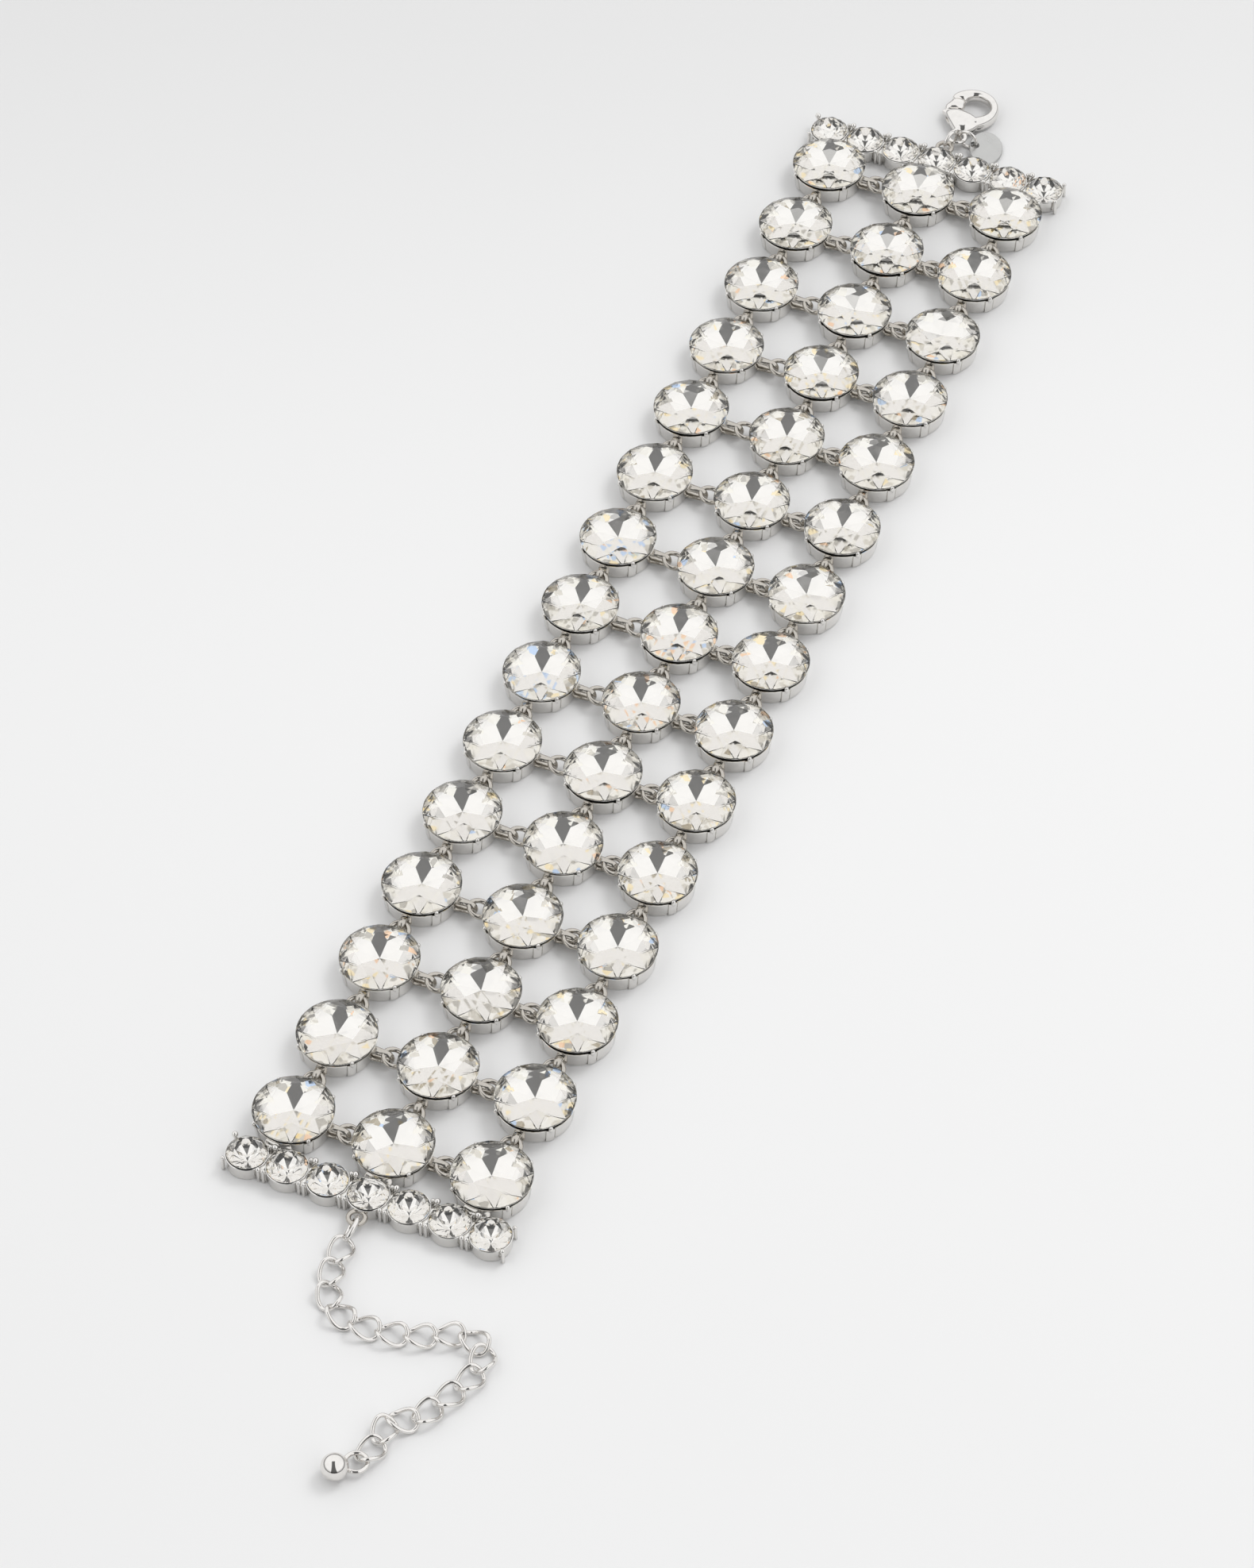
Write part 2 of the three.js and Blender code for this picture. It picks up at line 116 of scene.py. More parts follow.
# End bars
SMALL_CUP_STEPS = 64
SMALL_CUP_PROFILE = [
    (0.0, 0.02, 0), (3.4, 0.02, 0), (3.5, 0.12, 0), (3.56, 0.4, 0), (3.62, 2.35, 0), (3.66, 2.6, 0),
    (3.62, 2.68, 0), (3.52, 2.71, 0), (3.46, 2.64, 0), (3.38, 2.3, 0), (0.0, 0.3, 0),
]
BAR_PRONG = {"y": 2.62, "spread": 0.44, "heights": (0.03, 0.12, 1.2), "radii": (0.26, 0.32, 0.32, 0.32)}
BAR_BALLS = [  # side of the bar, shift along it, height and radius of the ball
    (-1, -0.44, 2.98, 0.44), (-1, 0.44, 2.94, 0.4), (1, 0.3, 3.0, 0.56), (1, -0.5, 2.8, 0.42),
]
BAR_JOINT = {"half_length": 0.9, "half_width": 2.5, "z": (0.05, 2.35)}
BAR_ARM = {"half_width": 2.4, "start": 5.2, "short": 2, "z": (0.3, 2.2)}

# Colour of plating, and the painted fire glints of the foil
MOTTLE_SHARE = 0.93  # the darker tone of plated metal, as a share of its colour
PAINTED_FIRE_CELLS = 820.0
PAINTED_FIRE_TINTS = [  # where the tint starts, red, green, blue
    (0.0, 0.93, 0.91, 0.86), (0.20, 0.74, 0.71, 0.65), (0.34, 0.95, 0.935, 0.90), (0.52, 0.56, 0.54, 0.50),
    (0.61, 0.93, 0.91, 0.86), (0.77, 1.0, 0.87, 0.60), (0.82, 0.90, 0.88, 0.83), (0.885, 0.50, 0.45, 0.36),
    (0.915, 0.58, 0.72, 0.95), (0.94, 0.88, 0.86, 0.80), (0.978, 0.98, 0.70, 0.50),
]

# Extension chain
LINK = {"pitch": 4.63, "half_length": 2.555, "half_width": 1.98, "twist": 0.83, "wire": 0.39, "z": 1.16}
CHAIN_START = (BAR_X + 0.1, -138.52)
FIRST_LINK = {
    "pitch": 3.9, "half_length": 2.15, "half_width": 1.53, "twist": 0, "wire": 0.45,
    "z": 1.88, "drop": 4, "roll": 62,
}
HEADINGS = [-90, -80, -60, -20, 2, 10, 22, 28, -14, -80, -108, -118, -112, -165, -80, -112]
END_LOOP = {"radius": 1.85, "heading": -112, "shift": 0.9, "z": 1.16}
BALL = {"radius": 2.3, "heading": -132, "distance": 3.7}

# Lobster clasp, in a plan of its own: u to the right, v towards the tip
CLASP = (0.55, 150.6, 1.6)
CLASP_EYE = {"u": -0.35, "v": -8.5, "radius": 1.6, "wire": 0.42}
HOOK_STATIONS = [  # angle, radius, half width, half height
    (166, 4.6, 0.3, 0.35), (163, 4.5, 0.7, 0.75), (156, 4.15, 1.3, 1.0), (145, 3.98, 1.42, 1.15),
    (125, 4.03, 1.15, 1.15), (100, 4.05, 0.92, 1.15), (70, 4.0, 0.88, 1.15), (40, 3.95, 0.87, 1.15),
    (10, 3.95, 0.87, 1.2), (-20, 3.95, 0.97, 1.25), (-45, 4.0, 1.12, 1.35), (-65, 4.2, 1.25, 1.4),
    (-80, 4.4, 1.0, 1.2),
]
BODY_STATIONS = [  # v, u, half width, half height
    (-1.95, -2.65, 0.7, 0.9), (-2.2, -2.1, 2.05, 1.3), (-2.8, -1.5, 3.3, 1.55), (-3.5, -1.2, 3.6, 1.65),
    (-4.3, -0.85, 3.4, 1.65), (-5.3, -0.55, 2.8, 1.5), (-6.4, -0.4, 1.85, 1.2), (-7.2, -0.35, 0.85, 0.7),
]
LEVER_SLOT = {"height": 1.5, "u": (-5.6, -1.1), "v": (-5.4, -1.3), "bevel": 0.02}
LEVER_PIVOT = (-2.75, -4.1)
LEVER_THICKNESS = 1.16
LEVER_STATIONS = [  # distance from the pivot, angle, half width, half height
    (2.38, 107, 0.9, 0.6), (2.58, 107, 1.65, 1.1), (3.2, 105, 1.9, 1.25), (4.2, 100, 1.65, 1.2),
    (4.85, 98.5, 1.5, 1.1), (5.05, 98, 1.2, 0.8),
]
LEVER_OUTLINE = [
    (-3.55, -4.6), (-4.3, -3.6), (-5.2, -3.15), (-5.45, -2.95), (-5.4, -2.6), (-4.95, -2.3),
    (-4.85, -0.6), (-4.5, 0.6), (-4.15, 0.9), (-3.75, 0.95), (-3.05, 0.5), (-2.75, -0.9), (-2.45, -2.2),
    (-1.9, -3.6), (-1.95, -4.6), (-2.75, -5.0),
]
LEVER_EDGE = [(0.0, 0.1), (0.08, 0.02)]  # depth below the plate's face, how far the edge is drawn in
SECTION_ROUNDING = 0.85
BODY_FUSE = {"voxel": 0.13, "rounds": 6}
LEVER_FUSE = {"voxel": 0.1, "rounds": 5}
CLASP_RING = {"at": (-0.4, 140.1, 2.12), "radius": 1.75, "wire": 0.36, "heading": 72}
TAG = {
    "at": (6.15, 142.1, 0.75), "half_length": 4.4, "half_width": 3.2, "thickness": 0.6,
    "edge": 0.12, "steps": 72, "heading": 104, "lean": 8,
}
TAG_HOLE = {"offset": 2.25, "radius": 0.85}
TAG_RING = {"radius": 1.8, "wire": 0.33, "from": (0.82, 141.95, 2.12), "to": (4.22, 141.45, 2.12)}

# Camera and studio
CAMERA = {
    "target": (4.90, -36.08, 3.85), "elevation": 49.10, "azimuth": 22.38,
    "distance": 1022.6, "lens": 135.3, "sensor": 36.0, "reach": (0.01, 20.0),
}
# the floor's colour is darkened towards its far side, as painted light falloff
FLOOR = {"half_size": 3.0, "tones": (0.845, 0.865), "painted_falloff": (-0.02, 0.24), "painted_far_share": 0.85}
TENT = {"horizon": 0.15, "full_from": 0.36, "strength": 1.08}
OPENING = {
    "half_width": 0.43, "narrowing": 0.22, "slant": 0.1, "soft_side": (-0.02, 0.03),
    "soft_back": (-0.2, -0.12), "darkness": 0.87,
}
KEY_LIGHT = {"size": 0.5, "energy": 3.0, "right": 0.55, "ahead": 0.35, "up": 0.95}


# Mesh building

class Shape:
    """Points in millimetres, and faces with a material place and a shading flag."""

    def __init__(self):
        self.points = np.zeros((0, 3))
        self.faces = []
        self.places = []
        self.smooth = []

    def add(self, points, faces, place=0, smooth=True):
        base = len(self.points)
        self.points = np.vstack([self.points, np.asarray(points, float).reshape(-1, 3)])
        self.faces += [tuple(base + i for i in face) for face in faces]
        self.places += [place] * len(faces)
        self.smooth += [smooth] * len(faces)
        return self

    def join(self, other, matrix=None):
        points = other.points
        if matrix is not None:
            m = np.array(matrix)
            points = points @ m[:3, :3].T + m[:3, 3]
        base = len(self.points)
        self.points = np.vstack([self.points, points])
        self.faces += [tuple(base + i for i in face) for face in other.faces]
        self.places += other.places
        self.smooth += other.smooth
        return self


def placed(x=0.0, y=0.0, z=0.0, turn=0.0):
    return Matrix.Translation((x, y, z)) @ Matrix.Rotation(math.radians(turn), 4, "Z")


def make_mesh(name, shape, sharp=35):
    mesh = bpy.data.meshes.new(name)
    mesh.from_pydata((shape.points * MM).tolist(), [], shape.faces)
    mesh.polygons.foreach_set("material_index", shape.places)
    mesh.polygons.foreach_set("use_smooth", shape.smooth)
    mesh.update()
    if sharp is not None:
        mesh.set_sharp_from_angle(angle=math.radians(sharp))
    return mesh


def make_piece(name, shape, materials, nodes, body=MAIN_BODY, sharp=35):
    piece = bpy.data.objects.new(name, make_mesh(name, shape, sharp))
    bpy.context.collection.objects.link(piece)
    for material in materials:
        piece.data.materials.append(material)
    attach(piece, body)
    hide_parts(*nodes)
    return piece


def skin(rings, closed_along=False, caps=False):
    """Faces between rings of points that all have the same count, each ring a closed loop."""
    count = len(rings[0])
    faces = []
    spans = len(rings) if closed_along else len(rings) - 1
    for ring in range(spans):
        a = ring * count
        b = ((ring + 1) % len(rings)) * count
        for side in range(count):
            nxt = (side + 1) % count
            faces.append((a + side, a + nxt, b + nxt, b + side))
    if caps:
        last = (len(rings) - 1) * count
        faces.append(tuple(range(count - 1, -1, -1)))
        faces.append(tuple(last + side for side in range(count)))
    return np.concatenate(rings), faces


def tube(path, radii, sides=12, closed=False):
    """A round wire along a path, its frame carried along without needless turning."""
    path = np.asarray(path, float)
    count = len(path)
    radii = np.broadcast_to(np.asarray(radii, float), (count,))
    if closed:
        tangents = np.roll(path, -1, 0) - np.roll(path, 1, 0)
    else:
        tangents = np.gradient(path, axis=0)
    tangents /= np.linalg.norm(tangents, axis=1)[:, None]
    helper = np.array([0.0, 0.0, 1.0]) if abs(tangents[0][2]) < 0.9 else np.array([1.0, 0.0, 0.0])
    normals = [np.cross(tangents[0], helper)]
    for k in range(1, count):
        carried = normals[-1] - tangents[k] * (normals[-1] @ tangents[k])
        normals.append(carried)
    normals = np.array([n / np.linalg.norm(n) for n in normals])
    angles = np.linspace(0, 2 * np.pi, sides, endpoint=False)
    drift = 0.0
    if closed:
        back = normals[-1] - tangents[0] * (normals[-1] @ tangents[0])
        sideways = np.cross(tangents[0], normals[0])
        drift = math.atan2(back @ sideways, back @ normals[0])
    rings = []
    for k in range(count):
        other = np.cross(tangents[k], normals[k])
        turned = (angles - drift * k / count)[:, None]
        rings.append(path[k] + radii[k] * (np.cos(turned) * normals[k] + np.sin(turned) * other))
    return skin(rings, closed_along=closed, caps=not closed)


def wire_ring(path, wire, sides=12):
    return Shape().add(*tube(path, wire, sides, closed=True))


def circle(radius, steps, centre=(0, 0, 0), axes=((1, 0, 0), (0, 1, 0))):
    angles = np.linspace(0, 2 * np.pi, steps, endpoint=False)
    u, v = np.array(axes[0], float), np.array(axes[1], float)
    return np.array(centre) + radius * (np.cos(angles)[:, None] * u + np.sin(angles)[:, None] * v)


def pointed(rings, low, high):
    """The skin over rings, closed with a fan to one point below and one above."""
    points, faces = skin(rings)
    count = len(rings[0])
    last = (len(rings) - 1) * count
    for side in range(count):
        nxt = (side + 1) % count
        faces.append((len(points), nxt, side))
        faces.append((len(points) + 1, last + side, last + nxt))
    return np.vstack([points, [low, high]]), faces


def ball(centre, radius, columns=16, bands=10):
    rings = []
    for band in range(1, bands):
        angle = math.pi * band / bands
        rings.append(circle(radius * math.sin(angle), columns, (0, 0, -radius * math.cos(angle))))
    points, faces = pointed(rings, (0, 0, -radius), (0, 0, radius))
    return points + np.array(centre), faces


def lathe(profile, angles, relief=None):
    """Turned form from (radius, height, share) rows that start and end on the axis."""
    relief = relief if relief is not None else np.zeros(len(angles))
    rings = []
    for radius, height, share in profile[1:-1]:
        reach = radius + share * relief
        heights = np.full(len(angles), height)
        rings.append(np.stack([reach * np.cos(angles), reach * np.sin(angles), heights], 1))
    return pointed(rings, (0, 0, profile[0][1]), (0, 0, profile[-1][1]))


# Cut stones

def polar(radius, degrees, z):
    angle = math.radians(degrees)
    return np.array([radius * math.cos(angle), radius * math.sin(angle), z])


def on_plane(point, a, b, c):
    """The point moved up or down on to the plane through a, b and c."""
    normal = np.cross(b - a, c - a)
    z = a[2] - ((point[:2] - a[:2]) @ normal[:2]) / normal[2]
    return np.array([point[0], point[1], z])


def facet_heights(cut):
    """Heights of the corners where the crown's stars and the back's halves meet."""
    table_r, table_z = cut["table"]
    girdle_r, girdle_z = cut["girdle"]
    foot_r, foot_z = cut["foot"]
    share = math.cos(math.radians(FACET_STEP / 2))
    slope = (table_z - girdle_z) / (girdle_r - table_r)
    star_z = table_z - slope * (cut["star"] * share - table_r)
    half_z = cut["culet"] + (foot_z - cut["culet"]) * cut["half"] * share / foot_r
    return star_z, half_z


def broad_facets(shape, cut, middle, star_z, half_z):
    """A star and a kite of the crown, and a main of the back."""
    half = FACET_STEP / 2
    t0, t1 = (polar(cut["table"][0], middle + turn, cut["table"][1]) for turn in (0, FACET_STEP))
    s0, s1 = (polar(cut["star"], middle + turn, star_z) for turn in (-half, half))
    m0, m1 = (polar(cut["half"], middle + turn, half_z) for turn in (-half, half))
    girdle = polar(cut["girdle"][0], middle, cut["girdle"][1])
    foot = polar(cut["foot"][0], middle, cut["foot"][1])
    culet = np.array([0, 0, cut["culet"]])
    shape.add([t0, s1, t1], [(0, 1, 2)], 0, False)
    shape.add([t0, s0, girdle, s1], [(0, 1, 2, 3)], 0, False)
    shape.add([culet, m1, foot, m0], [(0, 1, 2, 3)], 1, False)


def girdle_facets(shape, cut, middle, star_z, half_z):
    """The halves between two kites and between two mains; returns their round edges."""
    girdle_r, girdle_z = cut["girdle"]
    foot_r, foot_z = cut["foot"]
    half = FACET_STEP / 2
    last = GIRDLE_STEPS + 1
    star = polar(cut["star"], middle + half, star_z)
    inner = polar(cut["half"], middle + half, half_z)
    top_line, foot_line = [], []
    for way in (0, 1):
        first = middle + way * half
        ends = [first, first + half]
        lifts = ((1 - way) * cut["lift"], way * cut["lift"])
        ga, gb = (polar(girdle_r, degrees, girdle_z) for degrees in ends)
        pa, pb = (polar(foot_r, degrees, foot_z + lift) for degrees, lift in zip(ends, lifts))
        turns = [first + half * j / GIRDLE_STEPS for j in range(last)]
        fan_top = [on_plane(polar(girdle_r, turn, 0), star, ga, gb) for turn in turns]
        fan_foot = [on_plane(polar(foot_r, turn, 0), inner, pa, pb) for turn in turns]
        shape.add([star] + fan_top, [tuple([0] + list(range(1, last + 1)))], 0, False)
        shape.add([inner] + fan_foot, [tuple([0] + list(range(last, 0, -1)))], 2, False)
        top_line += fan_top[:-1]
        foot_line += fan_foot[:-1]
    return top_line, foot_line


def cut_stone(cut):
    """A brilliant cut: crown and band in glass (place 0), the foiled back's mains (1) and halves (2)."""
    shape = Shape()
    half = FACET_STEP / 2
    star_z, half_z = facet_heights(cut)
    table = [polar(cut["table"][0], half + FACET_STEP * k, cut["table"][1]) for k in range(FOLD)]
    shape.add(table, [tuple(range(FOLD))], 0, False)
    top_line, foot_line = [], []
    for k in range(FOLD):
        middle = half + FACET_STEP * k
        broad_facets(shape, cut, middle, star_z, half_z)
        tops, feet = girdle_facets(shape, cut, middle, star_z, half_z)
        top_line += tops
        foot_line += feet
    count = len(top_line)
    band_line = [polar(cut["band"][0], half + 360 * j / count, cut["band"][1]) for j in range(count)]
    points, faces = skin([np.array(foot_line), np.array(band_line)])
    shape.add(points, faces, 2, True)
    points, faces = skin([np.array(band_line), np.array(top_line)])
    shape.add(points, faces, 0, True)
    return shape


def welded(shape, digits=5):
    """The same shape with its doubled corners made one."""
    keys = {}
    order = []
    points = []
    for point in shape.points:
        key = tuple(np.round(point, digits))
        if key not in keys:
            keys[key] = len(points)
            points.append(point)
        order.append(keys[key])
    result = Shape()
    result.points = np.array(points)
    result.faces = [tuple(order[i] for i in face) for face in shape.faces]
    result.places = list(shape.places)
    result.smooth = list(shape.smooth)
    return result


# Settings

def cup_angles():
    angles, relief = [], []
    for prong in PRONG_ANGLES:
        for offset, height in COLUMN_RELIEF:
            angles.append(prong + offset)
            relief.append(height)
        gap = 90 - 2 * COLUMN_RELIEF[-1][0]
        for step in range(1, WALL_STEPS):
            angles.append(prong + COLUMN_RELIEF[-1][0] + gap * step / WALL_STEPS)
            relief.append(0.0)
    return np.radians(angles), np.array(relief)


def cup():
    shape = Shape()
    angles, relief = cup_angles()
    points, faces = lathe(CUP_PROFILE, angles, relief)
    shape.add(points, faces)
    # the inside of the wall below its lip takes place 1: painted shade, near black
    for index in range(DARK_SPANS_FROM * len(angles), len(faces)):
        shape.places[index] = 1
    for prong in PRONG_ANGLES:
        path = [polar(radius, prong, z) for radius, z, _ in CLAW]
        shape.add(*tube(path, [thickness for _, _, thickness in CLAW], sides=10))
    return shape


def eye(reach, turn, z=EYE_Z, rise=EYE_RISE, ring=EYE_RADIUS):
    """A cast ring that leaves the wall level and rises a little towards its far end."""
    radius = ring + EYE_WIRE
    shape = wire_ring(circle(ring, 32, (0, reach - radius, 0)), EYE_WIRE)
    shape.points[:, 2] += rise * (shape.points[:, 1] - reach + 2 * radius) / (2 * radius)
    return Shape().join(shape, placed(z=z, turn=turn))


def hook(reach, turn, lift=0.0):
    """An upright cast bow, wide where it leaves the wall, that bends down and comes back."""
    bend = reach - HOOK_BEND - WIRE_RADIUS
    path = [(0, WALL_ROOT, HOOK_BEND), (0, (WALL_ROOT + bend) / 2, HOOK_BEND)]
    for angle in np.linspace(90, -90, 11):
        turned = math.radians(angle)
        path.append((0, bend + HOOK_BEND * math.cos(turned), HOOK_BEND * math.sin(turned)))
    path += [(0, (WALL_ROOT + bend) / 2, -HOOK_BEND), (0, WALL_ROOT, -HOOK_BEND)]
    shape = Shape().add(*tube(path, WIRE_RADIUS, 12))
    share = np.clip((shape.points[:, 1] - WALL_ROOT) / (reach - WALL_ROOT), 0, 1)
    shape.points[:, 0] *= HOOK_ROOT_WIDTH + (HOOK_END_WIDTH - HOOK_ROOT_WIDTH) * share
    shape.points[:, 2] += lift * share
    return Shape().join(shape, placed(z=EYE_Z, turn=turn))


def lane_x(lane, row):
    return lane["x"] - lane["pull"] * abs(row / END_ROW) ** PULL_POWER


def side_joinery(lane):
    shape = Shape()
    if lane["eye"]:
        shape.join(eye(LANE_EYE_REACH, 90))
    if lane["hook"]:
        shape.join(hook(LANE_HOOK_REACH, -90))
    return shape


def stone_place(lane, row):
    turn = Matrix.Rotation(math.radians(RNG.uniform(-STONE_TURN, STONE_TURN)), 4, "Z")
    lean = Matrix.Rotation(math.radians(RNG.uniform(-STONE_LEAN, STONE_LEAN)), 4, "X")
    return Matrix.Translation((lane_x(lane, row), row * ROW_PITCH, 0)) @ turn @ lean


def lane_nodes(lane):
    return [f"stone_{lane['name']}_{row + END_ROW + 1}" for row in range(1 - END_ROW, END_ROW)]


def main_stones(lane, metals, painted_shade, gem):
    # the second metal is the joinery's plating, painted darker as shade between the cups
    wall, cast = metals
    setting = cup()
    joinery = Shape().join(eye(ROW_EYE_REACH, 0)).join(hook(ROW_HOOK_REACH, 180, ROW_HOOK_LIFT))
    joinery.join(side_joinery(lane))
    stone = welded(cut_stone(MAIN_CUT))
    cups, links, stones = Shape(), Shape(), Shape()
    for row in range(1 - END_ROW, END_ROW):
        place = placed(lane_x(lane, row), row * ROW_PITCH)
        cups.join(setting, place)
        links.join(joinery, place)
        stones.join(stone, stone_place(lane, row))
    nodes = lane_nodes(lane)
    make_piece(f"cups_{lane['name']}", cups, [wall, painted_shade], nodes)
    make_piece(f"joinery_{lane['name']}", links, [cast], nodes)
    make_piece(f"crystals_{lane['name']}", stones, gem, nodes, sharp=None)


# End bars

def chaton_x(k):
    return (k - (BAR_CHATONS - 1) / 2) * BAR_PITCH


def block(low, high, bevel=0.15):
    """A box with its upright edges and top edges cut off."""
    (x0, y0, z0), (x1, y1, z1) = low, high
    rings = []
    for z, inset in ((z0, 0.0), (z1 - bevel, 0.0), (z1, bevel)):
        b = bevel + inset
        a0, b0, a1, b1 = x0 + inset, y0 + inset, x1 - inset, y1 - inset
        rings.append(np.array([
            (a0 + b, b0, z), (a1 - b, b0, z), (a1, b0 + b, z), (a1, b1 - b, z),
            (a1 - b, b1, z), (a0 + b, b1, z), (a0, b1 - b, z), (a0, b0 + b, z),
        ]))
    return skin(rings, caps=True)


def bar_prongs(x, first, last):
    """The ball-ended prongs between two small cups, or those at one end of the bar."""
    shape = Shape()
    for way, shift, z, radius in BAR_BALLS:
        if (first and shift < 0) or (last and shift > 0):
            continue
        foot_x = x + math.copysign(BAR_PRONG["spread"], shift)
        y = way * BAR_PRONG["y"]
        path = [(foot_x, y, height) for height in BAR_PRONG["heights"]] + [(x + shift, y, z)]
        shape.add(*tube(path, BAR_PRONG["radii"], sides=12))
        shape.add(*ball((x + shift, y, z), radius))
    return shape


def bar_row():
    """Small cups side by side, with a joint and prongs between each two."""
    shape = Shape()
    angles = np.linspace(0, 2 * np.pi, SMALL_CUP_STEPS, endpoint=False)
    small_cup = Shape().add(*lathe(SMALL_CUP_PROFILE, angles))
    length, width, (low, high) = BAR_JOINT["half_length"], BAR_JOINT["half_width"], BAR_JOINT["z"]
    for k in range(BAR_CHATONS):
        shape.join(small_cup, placed(chaton_x(k)))
    for k in range(BAR_CHATONS + 1):
        x = chaton_x(k) - BAR_PITCH / 2
        first, last = k == 0, k == BAR_CHATONS
        if not first and not last:
            shape.add(*block((x - length, -width, low), (x + length, width, high)))
        shape.join(bar_prongs(x, first, last))
    return shape


def bar_metal(side):
    """The row of small cups, with the last row's three cups on arms of their own."""
    result = Shape().join(bar_row(), placed(BAR_X, side * BAR_Y))
    reach = BAR_Y - END_ROW * ROW_PITCH - BAR_ARM["short"]
    near, far = sorted((side * BAR_ARM["start"], side * reach))
    width, (low, high) = BAR_ARM["half_width"], BAR_ARM["z"]
    setting = Shape().join(cup()).add(*block((-width, near, low), (width, far, high)))
    for lane in LANES:
        result.join(setting, placed(lane_x(lane, side * END_ROW), side * END_ROW * ROW_PITCH))
    return result


def bar_joinery(side):
    """The bar's own eye, and what joins the last row's cups to the strip and to each other."""
    turn = 0 if side > 0 else 180
    own_eye = eye(BAR_EYE["reach"], turn, BAR_EYE["z"], 0.0, BAR_EYE["radius"])
    shape = Shape().join(own_eye, placed(BAR_X, side * BAR_Y))
    row_joinery = hook(ROW_HOOK_REACH, 180, ROW_HOOK_LIFT) if side > 0 else eye(ROW_EYE_REACH, 0)
    for lane in LANES:
        place = placed(lane_x(lane, side * END_ROW), side * END_ROW * ROW_PITCH)
        shape.join(row_joinery, place)
        shape.join(side_joinery(lane), place)
    return shape


def bar_crystals(side):
    small = welded(cut_stone(SMALL_CUT))
    large = welded(cut_stone(MAIN_CUT))
    shape = Shape()
    for k in range(BAR_CHATONS):
        place = placed(BAR_X + chaton_x(k), side * BAR_Y, 0, RNG.uniform(-STONE_TURN, STONE_TURN))
        lean = math.radians(RNG.uniform(-SMALL_STONE_LEAN, SMALL_STONE_LEAN))
        shape.join(small, place @ Matrix.Rotation(lean, 4, "X"))
    for lane in LANES:
        shape.join(large, stone_place(lane, side * END_ROW))
    return shape


# Extension chain

def chain_link(link, steps=36):
    """An oval link along X, twisted out of its plane towards its four corners."""
    angles = np.linspace(0, 2 * np.pi, steps, endpoint=False)
    x = link["half_length"] * np.cos(angles)
    y = link["half_width"] * np.sin(angles)
    return wire_ring(np.stack([x, y, link["twist"] * np.sin(2 * angles)], 1), link["wire"])


def chain_joints():
    joints = [np.array([CHAIN_START[0], CHAIN_START[1] - FIRST_LINK["pitch"]])]
    for heading in HEADINGS:
        joints.append(joints[-1] + LINK["pitch"] * polar(1, heading, 0)[:2])
    return joints


def extension_chain(joints):
    shape = Shape()
    roll = Matrix.Rotation(math.radians(FIRST_LINK["roll"]), 4, "X")
    drop = Matrix.Rotation(math.radians(FIRST_LINK["drop"]), 4, "Y")
    start = placed(CHAIN_START[0], CHAIN_START[1] - FIRST_LINK["pitch"] / 2, FIRST_LINK["z"], -90)
    shape.join(chain_link(FIRST_LINK), start @ drop @ roll)
    link = chain_link(LINK)
    for k, heading in enumerate(HEADINGS):
        centre = (joints[k] + joints[k + 1]) / 2
        shape.join(link, placed(centre[0], centre[1], LINK["z"], heading))
    return shape


def chain_ball(joints):
    end = joints[-1] + END_LOOP["shift"] * polar(1, END_LOOP["heading"], 0)[:2]
    shape = wire_ring(circle(END_LOOP["radius"], 36, (end[0], end[1], END_LOOP["z"])), LINK["wire"])
    centre = end + BALL["distance"] * polar(1, BALL["heading"], 0)[:2]
    shape.add(*ball((centre[0], centre[1], BALL["radius"]), BALL["radius"], 56, 32))
    return shape


# Clasp

def section(centre, across, half_width, half_height, sides=24):
    """A squarish oval across a bar of the clasp."""
    angles = np.linspace(0, 2 * np.pi, sides, endpoint=False)
    c = np.sign(np.cos(angles)) * np.abs(np.cos(angles)) ** SECTION_ROUNDING
    s = np.sign(np.sin(angles)) * np.abs(np.sin(angles)) ** SECTION_ROUNDING
    points = np.array(centre) + half_width * c[:, None] * np.array(across)
    points[:, 2] = half_height * s
    return points


def smoothed(rows, steps):
    """Rows of numbers filled in between with a smooth curve through them."""
    rows = np.array(rows, float)
    count = len(rows)
    result = []
    for k in range(count - 1):
        p0, p1, p2, p3 = rows[max(k - 1, 0)], rows[k], rows[k + 1], rows[min(k + 2, count - 1)]
        for j in range(steps):
            t = j / steps
            result.append(0.5 * (2 * p1 + (p2 - p0) * t + (2 * p0 - 5 * p1 + 4 * p2 - p3) * t ** 2
                                 + (3 * p1 - p0 - 3 * p2 + p3) * t ** 3))
    result.append(rows[-1])
    return result


def clasp_solid():
    shape = Shape()
    rings = []
    for angle, radius, half_width, half_height in smoothed(HOOK_STATIONS, 4):
        across = polar(1, angle, 0)
        rings.append(section(radius * across, across, half_width, half_height))
    shape.add(*skin(rings, caps=True))
    rings = []
    for v, u, half_width, half_height in smoothed(BODY_STATIONS, 4):
        rings.append(section((u, v, 0), (1, 0, 0), half_width, half_height))
    shape.add(*skin(rings, caps=True))
    ring = circle(CLASP_EYE["radius"], 40, (CLASP_EYE["u"], CLASP_EYE["v"], 0))
    return shape.join(wire_ring(ring, CLASP_EYE["wire"], 14))


def raw_object(name, shape):
    mesh = bpy.data.meshes.new(name)
    mesh.from_pydata(shape.points.tolist(), [], shape.faces)
    thing = bpy.data.objects.new(name, mesh)
    bpy.context.collection.objects.link(thing)
    return thing


def settle(thing):
    """Applies the modifiers of a piece of the clasp and puts its mesh in its place in metres."""
    graph = bpy.context.evaluated_depsgraph_get()
    mesh = bpy.data.meshes.new_from_object(thing.evaluated_get(graph))
    mesh.transform(Matrix.Scale(MM, 4) @ Matrix.Translation(CLASP))
    thing.modifiers.clear()
    thing.data = mesh
    return thing


